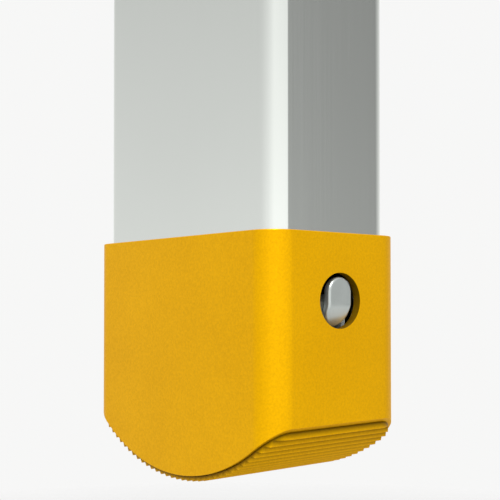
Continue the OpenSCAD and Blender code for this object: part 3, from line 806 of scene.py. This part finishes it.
def make_lever():
    """A round-ended plate bent by moving its rows inwards, with its hub, web and nose."""
    sizes = bpy.context.scene.bollard_lever
    foot = bpy.context.scene.bollard_foot
    low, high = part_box("release_lever")
    seam, _, _ = foot_levels()
    window_z = seam + foot.window_up
    top, bottom, half = window_z + sizes.above, window_z - sizes.below, sizes.width / 2
    front = high.x
    lever = block("thumb_lever", (front - sizes.thick, -half, bottom), (front, half, top))
    round_edges(lever, lambda e: abs(e.verts[0].co.y - e.verts[1].co.y) < 1e-7
                and abs(e.verts[0].co.z - e.verts[1].co.z) < 1e-7, half * 0.998, 18)
    bend_z = window_z - sizes.bend
    soft = 1.5 * MM
    for row in range(7):
        pick(lever, "FACE", lambda face: True)
        bpy.ops.mesh.bisect(plane_co=(0, 0, bend_z + soft - row * soft / 3), plane_no=(0, 0, 1))
    let_go()
    slope = sizes.lean / (bend_z - bottom)
    heights = sorted({round(v.co.z, 7) for v in lever.data.vertices
                      if v.co.z < bend_z + soft - 1e-6})
    for height in heights:
        depth = bend_z + soft - height
        shift = slope * (depth ** 2 / (4 * soft) if depth < 2 * soft else depth - soft)
        pick(lever, "VERT", lambda v: abs(v.co.z - height) < 6e-8)
        bpy.ops.transform.translate(value=(-shift, 0, 0))
    let_go()
    soften(lever, sizes.edge, 5, 50, 35)
    pin_low, pin_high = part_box("lever_pin")
    pin = (pin_low + pin_high) / 2
    hub_half, hub_radius, bore_radius = (sizes.width + sizes.hub_extra) / 2, 4 * MM, 2.05 * MM
    hub = rod("hub", "Y", (pin.x, pin.z), hub_radius, -hub_half, hub_half, 48)
    web = block("web", (pin.x, -5 * MM, pin.z - 3 * MM),
                (front - sizes.thick + 0.5 * MM, 5 * MM, pin.z + 6 * MM))
    nose_half, nose_wide = 2.5 * MM, 4 * MM
    tip_x = low.x + nose_half
    nose = block("nose", (tip_x, -nose_wide, pin.z - nose_half),
                 (pin.x, nose_wide, pin.z + nose_half))
    tip = rod("tip", "Y", (tip_x, pin.z), nose_half, -nose_wide, nose_wide, 40)
    for part in (web, nose, tip):
        carve(hub, part, "UNION")
    carve(hub, rod("bore", "Y", (pin.x, pin.z), bore_radius, -9 * MM, 9 * MM, 40))
    soften(hub, 0.35 * MM, 2)
    join(lever, hub)
    return place(lever, "lever_metal", "lever", "chrome", "release_lever")


def make_collar():
    """The collar over the column's top, and the seal in its mouth."""
    sizes = bpy.context.scene.bollard_column
    low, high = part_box("top_collar")
    column_low, column_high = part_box("outer_column")
    collar = rounded_block("collar", low, high, sizes.collar_corner, 16)
    slip = 0.1 * MM
    carve(collar, rounded_block(
        "skirt", (column_low.x - slip, column_low.y - slip, low.z - BEYOND),
        (column_high.x + slip, column_high.y + slip, column_high.z), sizes.corner, 16))
    seal_low, seal_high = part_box("wiper_seal")
    seal_corner = sizes.mast_corner + 2.6 * MM
    carve(collar, rounded_block(
        "mouth", (seal_low.x, seal_low.y, column_high.z - 1 * MM),
        (seal_high.x, seal_high.y, high.z + BEYOND), seal_corner, 16))
    for middle, _ in middles("collar_screws"):
        side = 1 if middle.y > 0 else -1
        ends = sorted((side * column_high.y, side * (high.y + BEYOND)))
        carve(collar, rod("hole", "Y", (middle.x, middle.z), 2.05 * MM, *ends, 32))
    soften(collar, 0.8 * MM, 3)
    place(collar, "powder_coat", "base", "yellow_coat", "top_collar")
    seal = ring("wiper", "wiper_seal", seal_corner, 2 * MM, seal_low.z, seal_high.z)
    soften(seal, 0.5 * MM, 3)
    return place(seal, "soft_rubber", "base", "rubber", "wiper_seal")


def make_mast():
    """The mast's tube, and the film bands round it."""
    sizes = bpy.context.scene.bollard_column
    low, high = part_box("mast_tube")
    film = 0.3 * MM
    mast = ring("mast", "mast_tube", sizes.mast_corner, sizes.mast_wall, low.z, high.z)
    soften(mast, 0.4 * MM, 2)
    place(mast, "mast_metal", "mast", "mast_aluminium", "mast_tube")
    bands = []
    upwards = sorted(middles("reflective_bands"), key=lambda m: m[0].z)
    for count, (middle, half) in enumerate(upwards):
        band = ring(f"band_{count}", "reflective_bands", sizes.mast_corner + film, film,
                    middle.z - half.z, middle.z + half.z)
        bands.append(soften(band, 0.1 * MM, 2))
    join(*bands)
    bands[0].name = bands[0].data.name = "bands"
    return place(bands[0], "reflective_film", "mast", "reflective", "reflective_bands")


def make_cap():
    """A crowned block with its plug, the handle's recess and the holes of bolts and pins."""
    sizes = bpy.context.scene.bollard_head
    column = bpy.context.scene.bollard_column
    low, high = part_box("head_cap")
    top = high.z
    cap_low = top - sizes.cap_height
    cap = rounded_block("cap", (low.x, low.y, cap_low), (high.x, high.y, top),
                        column.collar_corner, 8)
    carve(cap, rod("crown", "Y", (0, top - sizes.crown), sizes.crown, low.y - BEYOND,
                   high.y + BEYOND, 240), "INTERSECT")
    mast_low, mast_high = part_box("mast_tube")
    gap = column.mast_wall + 0.2 * MM
    plug = rounded_block("plug", (mast_low.x + gap, mast_low.y + gap, low.z),
                         (mast_high.x - gap, mast_high.y - gap, cap_low + 1 * MM),
                         column.mast_corner - column.mast_wall, 6)
    carve(cap, plug, "UNION")
    recess_low = top - sizes.recess_deep
    pocket = gap + 4 * MM
    carve(cap, rounded_block("pocket", (mast_low.x + pocket, mast_low.y + pocket, low.z - BEYOND),
                             (mast_high.x - pocket, mast_high.y - pocket, recess_low - 6 * MM),
                             column.mast_corner - column.mast_wall, 6))
    half_x, half_y = sizes.recess_long / 2, sizes.recess_wide / 2
    hollow = rounded_block("recess", (-half_x, -sizes.recess_y - half_y, recess_low),
                           (half_x, -sizes.recess_y + half_y, top + BEYOND), 5 * MM, 12)
    carve(cap, hollow)
    for middle, _ in middles("head_bolts"):
        carve(cap, rod("bolt_hole", "Z", (middle.x, middle.y), 3.05 * MM, low.z, top, 32))
    hinge = (sizes.hinge_y, top - sizes.hinge_down)
    pin_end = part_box("handle_pins")[1].x
    for side in (-1, 1):
        ends = sorted((side * (half_x - 1 * MM), side * pin_end))
        carve(cap, rod("pin_hole", "X", hinge, 3 * MM, *ends, 40))
    clean(cap)
    crown_z = top - sizes.crown

    def outline(v):
        on_crown = abs(math.hypot(v.x, v.z - crown_z) - sizes.crown) < 0.05 * MM
        return on_crown or abs(v.z - cap_low) < 0.05 * MM and abs(v.y) > mast_high.y + 1 * MM

    round_rim(cap, outline, 0.45 * MM, 2)
    shade(cap)
    return place(cap, "powder_coat", "mast", "yellow_coat", "head_cap")


def make_handle():
    """A bent bar with a flat eye at each end and a ribbed grip round its middle."""
    sizes = bpy.context.scene.bollard_head
    low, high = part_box("lift_handle")
    hinge_z = (low.z + high.z) / 2
    bar_y = sizes.hinge_y - sizes.handle_reach
    wire, bend, eye_half = 2.6 * MM, 7 * MM, 3 * MM
    side = (high.x - low.x) / 2 - eye_half
    arm_end = sizes.hinge_y - 3 * MM
    let_go()
    bpy.ops.mesh.primitive_circle_add(vertices=32, radius=wire, fill_type="NGON",
                                      location=(-side, arm_end, hinge_z),
                                      rotation=(math.pi / 2, 0, 0))
    bar = settle("handle_bar")
    pick(bar, "FACE", lambda face: True)

    def pull(x, y):
        bpy.ops.mesh.extrude_region_move(TRANSFORM_OT_translate={"value": (x, y, 0)})

    def turn(x, y):
        bpy.ops.mesh.spin(
            steps=12, angle=-math.pi / 2, center=(x, y, hinge_z), axis=(0, 0, 1))

    pull(0, bar_y + bend - arm_end)
    turn(-side + bend, bar_y + bend)
    pull(2 * (side - bend), 0)
    turn(side - bend, bar_y + bend)
    pull(0, arm_end - (bar_y + bend))
    bpy.ops.mesh.select_all(action="SELECT")
    bpy.ops.mesh.remove_doubles(threshold=1e-6)
    bpy.ops.mesh.normals_make_consistent(inside=False)
    let_go()
    if abs(min(v.co.y for v in bar.data.vertices) - (bar_y - wire)) > 0.1 * MM:
        raise RuntimeError("the handle was bent the wrong way")
    hinge = (sizes.hinge_y, hinge_z)
    for middle in (-side, side):
        carve(bar, rod("eye", "X", hinge, 5.6 * MM, middle - eye_half, middle + eye_half, 64),
              "UNION")
    for middle in (-side, side):
        carve(bar, rod("eye_bore", "X", hinge, 3.05 * MM, middle - 5 * MM, middle + 5 * MM, 48))
    soften(bar, 0.5 * MM, 3, 40, 40)
    place(bar, "bright_chrome", "handle", "chrome", "lift_handle")
    grip_half, pitch = 32 * MM, 2 * MM
    grip = rod("handle_grip", "X", (bar_y, hinge_z), 4 * MM, -grip_half, grip_half, 64)
    pick(grip, "FACE", lambda face: True)
    for row in range(1, 32):
        bpy.ops.mesh.select_all(action="SELECT")
        bpy.ops.mesh.bisect(plane_co=(row * pitch - grip_half, 0, 0), plane_no=(1, 0, 0))
    let_go()
    pick(grip, "VERT", lambda v: abs(v.co.x) < 25 * MM
         and round((v.co.x + grip_half) / pitch) % 2 == 0)
    bpy.ops.transform.resize(value=(1, 0.9, 0.9), center_override=(0, bar_y, hinge_z))
    let_go()
    soften(grip, 0.6 * MM, 3, 60, 50)
    return place(grip, "soft_rubber", "handle", "rubber")


def merged_copy(node, name):
    """A free copy of a small CAD part, with its triangles joined up."""
    hold(frame["nodes"][node])
    bpy.ops.object.duplicate()
    piece = bpy.context.active_object
    piece.parent = None
    piece.matrix_world = Matrix.Identity(4)
    for key in [k for k in piece.keys() if k.startswith("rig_")]:
        del piece[key]
    piece.name = piece.data.name = name
    return clean(piece)


def softened_copy(node, name, width, finish_name, slot):
    """A copy of a small CAD part with its sharp edges broken."""
    piece = soften(merged_copy(node, name), width, 2)
    return place(piece, finish_name, body_of(frame["nodes"][node])[0], slot, node)


def make_spring():
    """The return spring, which shortens towards its upper end as the pin lifts."""
    spring = shade(merged_copy("return_spring", "coil_spring"), 60)
    place(spring, "zinc_plate", "base", "steel", "return_spring")
    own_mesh(spring)


FIXINGS = [
    ("mount_inserts", "threaded_inserts", 0.4, "zinc_plate", "steel"),
    ("column_screws", "back_screws", 0.25, "zinc_plate", "steel"),
    ("lever_pin", "lever_axle", 0.35, "zinc_plate", "steel"),
    ("lever_bracket", "lever_cradle", 0.4, "cradle_metal", "dark_steel"),
    ("collar_screws", "collar_bolts", 0.3, "zinc_plate", "steel"),
    ("head_bolts", "cap_bolts", 0.3, "zinc_plate", "steel"),
    ("handle_pins", "handle_axles", 0.3, "zinc_plate", "steel"),
]


# ---- studio ----

def studio_sky():
    """Soft light all round: a broad white screen on one side and a grey one beside it."""
    world = bpy.data.worlds.new("studio")
    bpy.context.scene.world = world
    world.use_nodes = True
    tree = world.node_tree
    nodes, links = tree.nodes, tree.links
    direction = nodes.new("ShaderNodeTexCoord").outputs["Generated"]
    split = nodes.new("ShaderNodeSeparateXYZ")
    links.new(direction, split.inputs[0])

    def ranged(value, low, high, to_low=0.0, to_high=1.0, how="LINEAR"):
        node = nodes.new("ShaderNodeMapRange")
        node.interpolation_type = how
        for key, number in (("From Min", low), ("From Max", high), ("To Min", to_low),
                            ("To Max", to_high)):
            node.inputs[key].default_value = number
        links.new(value, node.inputs["Value"])
        return node.outputs[0]

    turn = nodes.new("ShaderNodeMath")
    turn.operation = "ARCTAN2"
    links.new(split.outputs["Y"], turn.inputs[0])
    links.new(split.outputs["X"], turn.inputs[1])
    ramp = nodes.new("ShaderNodeValToRGB")
    stops = [(-180, 0.80), (-150, 0.73), (-138, 0.74), (-112, 0.76), (-75, 0.90), (-42, 1.07),
             (35, 1.05), (39.5, 0.355), (52, 0.315), (72, 0.55), (112, 0.94), (160, 0.96)]
    elements = ramp.color_ramp.elements
    while len(elements) < len(stops):
        elements.new(0.5)
    peak = 1.2
    for element, (angle, light) in zip(elements, stops):
        element.position = (angle + 180) / 360
        element.color = (light / peak, light / peak, light / peak, 1)
    links.new(ranged(turn.outputs[0], -math.pi, math.pi), ramp.inputs["Fac"])
    height = split.outputs["Z"]
    over = nodes.new("ShaderNodeMix")
    over.data_type = "RGBA"
    links.new(ranged(height, 0.35, 0.85, how="SMOOTHSTEP"), over.inputs["Factor"])
    colour_in = [s for s in over.inputs if s.type == "RGBA"]
    colour_in[1].default_value = (0.6, 0.6, 0.6, 1)
    level = nodes.new("ShaderNodeMath")
    level.operation = "MULTIPLY"
    links.new(ranged(height, 0.06, 0.34, 1, 0.8), level.inputs[0])
    links.new(ranged(height, -0.7, -0.3, 0.8, 1, "SMOOTHSTEP"), level.inputs[1])
    scaled = nodes.new("ShaderNodeVectorMath")
    scaled.operation = "SCALE"
    links.new(ramp.outputs["Color"], scaled.inputs[0])
    links.new(level.outputs[0], scaled.inputs["Scale"])
    links.new(scaled.outputs[0], colour_in[0])
    background = nodes["Background"]
    background.inputs["Strength"].default_value = peak
    links.new([s for s in over.outputs if s.type == "RGBA"][0], background.inputs["Color"])
    backdrop = nodes.new("ShaderNodeBackground")
    backdrop.inputs["Color"].default_value = (0.93, 0.93, 0.925, 1)
    seen = nodes.new("ShaderNodeMixShader")
    links.new(nodes.new("ShaderNodeLightPath").outputs["Is Camera Ray"], seen.inputs[0])
    links.new(background.outputs[0], seen.inputs[1])
    links.new(backdrop.outputs[0], seen.inputs[2])
    links.new(seen.outputs[0], nodes["World Output"].inputs["Surface"])


def studio_floor():
    """A pale floor that fades into the light around it."""
    let_go()
    bpy.ops.mesh.primitive_grid_add(x_subdivisions=40, y_subdivisions=40, size=5.2,
                                    location=(0, 0, -0.3))
    floor = settle("studio_floor")
    pick(floor, "VERT", lambda v: v.co.length > 2.65)
    bpy.ops.mesh.delete(type="VERT")
    let_go()
    surface = Finish("studio_floor_paint")
    grain = surface.noise(3, 3, 0.5)
    colours = bpy.context.scene.bollard_colours
    reach = surface.vector("LENGTH", surface.place).outputs["Value"]
    uneven = surface.spread(grain, 0, 1, -0.02, 0.02)
    # painted shadow: dark floor colour out to about 0.3 m, pale from 0.75 m on
    beyond_painted_shadow = surface.spread(surface.sum(reach, uneven), 0.3, 0.75)
    tones = (tuple(colours.floor_painted_shadow), tuple(colours.floor))
    surface.wire("Base Color", surface.blend(beyond_painted_shadow, *tones))
    surface.fix(Roughness=0.9)
    fade = surface.spread(reach, 0.75, 1.5)
    clear = surface.add("ShaderNodeBsdfTransparent")
    mixer = surface.add("ShaderNodeMixShader", {0: fade})
    surface.tree.links.new(surface.shader.outputs[0], mixer.inputs[1])
    surface.tree.links.new(clear.outputs[0], mixer.inputs[2])
    output = [n for n in surface.tree.nodes if n.type == "OUTPUT_MATERIAL"][0]
    surface.tree.links.new(mixer.outputs[0], output.inputs["Surface"])
    floor.data.materials.append(surface.material)


def softbox(name, spot, target, width, height, power):
    """A square lamp that looks at the target and isn't seen itself."""
    let_go()
    bpy.ops.object.light_add(type="AREA", location=spot)
    lamp = bpy.context.active_object
    lamp.name = name
    lamp.data.shape = "RECTANGLE"
    lamp.data.size, lamp.data.size_y = width, height
    lamp.data.energy = power
    lamp.rotation_euler = (Vector(target) - Vector(spot)).to_track_quat("-Z", "Y").to_euler()
    lamp.visible_camera = False
    return lamp


def studio_camera():
    """The camera, low beside the shoe and looking at its corner."""
    let_go()
    bpy.ops.object.camera_add(location=(0.3662, -0.2898, 0.0868))
    camera = bpy.context.active_object
    camera.name = "camera"
    ahead = Vector((-0.7758, 0.6307, 0.0197))
    camera.rotation_euler = ahead.to_track_quat("-Z", "Y").to_euler()
    camera.data.lens, camera.data.sensor_width = 64.81, 36
    camera.data.shift_y = 0.0673
    camera.data.clip_start = 0.01
    bpy.context.scene.camera = camera


# ---- operators ----

def operator(idname, label, words, *steps):
    """An operator that runs its steps and fails loudly."""

    def execute(self, context):
        for step in steps:
            step()
        return {"FINISHED"}

    name = "BOLLARD_OT_" + idname
    return type(name, (bpy.types.Operator,), {
        "bl_idname": "bollard." + idname, "bl_label": label, "__doc__": words,
        "bl_options": {"REGISTER", "UNDO"}, "execute": execute})


def make_fixings():
    """Softened copies of the small parts that show."""
    for node, name, width, finish_name, slot in FIXINGS:
        softened_copy(node, name, width * MM, finish_name, slot)


def finish_inner_parts():
    """The inner CAD parts keep their shape and get a finish of their own."""
    for finish_name, nodes in INNER.items():
        for node in nodes:
            mesh = frame["nodes"][node].data
            mesh.materials.clear()
            mesh.materials.append(FINISHES[finish_name]())


def make_stage():
    """Sky, floor, key light and camera."""
    studio_sky()
    studio_floor()
    softbox("key_softbox", (0.62, -0.50, 1.05), (0, 0, 0.1), 0.55, 0.55, 11)
    studio_camera()
    bpy.context.scene.view_settings.view_transform = "Standard"


OPERATORS = [
    operator("make_shoe", "Shoe", "Builds the shoe with its rounded wide walls and window",
             make_shoe),
    operator("make_tread", "Tread", "Builds the ribbed rocker tread", make_tread),
    operator("make_column", "Column", "Builds the fixed outer column", make_column),
    operator("make_lever", "Thumb lever", "Builds the bent release lever", make_lever),
    operator("make_collar", "Collar and wiper", "Builds the top collar and its wiper seal",
             make_collar),
    operator("make_mast", "Mast and bands", "Builds the mast and its reflective bands", make_mast),
    operator("make_cap", "Head cap", "Builds the crowned head cap", make_cap),
    operator("make_handle", "Handle", "Builds the lift handle and its grip", make_handle),
    operator("make_spring", "Return spring", "Copies the spring and lets it shorten", make_spring),
    operator("make_fixings", "Fixings", "Breaks the edges of the screws, pins and cradle",
             make_fixings),
    operator("finish_inner_parts", "Inner parts", "Gives the inner parts their finishes",
             finish_inner_parts),
    operator("make_stage", "Stage", "Sets the floor, the light and the camera", make_stage),
]


class BOLLARD_PT_panel(bpy.types.Panel):
    """Lists the bollard's sizes and the steps that build it."""
    bl_idname = "BOLLARD_PT_panel"
    bl_label = "Retractable bollard"
    bl_space_type = "VIEW_3D"
    bl_region_type = "UI"
    bl_category = "Bollard"

    def draw(self, context):
        for group in GROUPS:
            sizes = getattr(context.scene, group)
            box = self.layout.box()
            for key in GROUPS[group].__annotations__:
                box.prop(sizes, key)
        for step in OPERATORS:
            self.layout.operator(step.bl_idname)


GROUPS = {
    "bollard_foot": BollardFootSizes,
    "bollard_lever": BollardLeverSizes,
    "bollard_column": BollardColumnSizes,
    "bollard_head": BollardHeadSizes,
    "bollard_colours": BollardColours,
}


def register():
    for name, group in GROUPS.items():
        bpy.utils.register_class(group)
        setattr(bpy.types.Scene, name, bpy.props.PointerProperty(type=group))
    for step in OPERATORS:
        bpy.utils.register_class(step)
    bpy.utils.register_class(BOLLARD_PT_panel)


def unregister():
    bpy.utils.unregister_class(BOLLARD_PT_panel)
    for step in reversed(OPERATORS):
        bpy.utils.unregister_class(step)
    for name, group in GROUPS.items():
        delattr(bpy.types.Scene, name)
        bpy.utils.unregister_class(group)


def main():
    register()
    for step in OPERATORS:
        family, name = step.bl_idname.split(".")
        getattr(getattr(bpy.ops, family), name)()
    let_go()


if __name__ == "__main__":
    main()
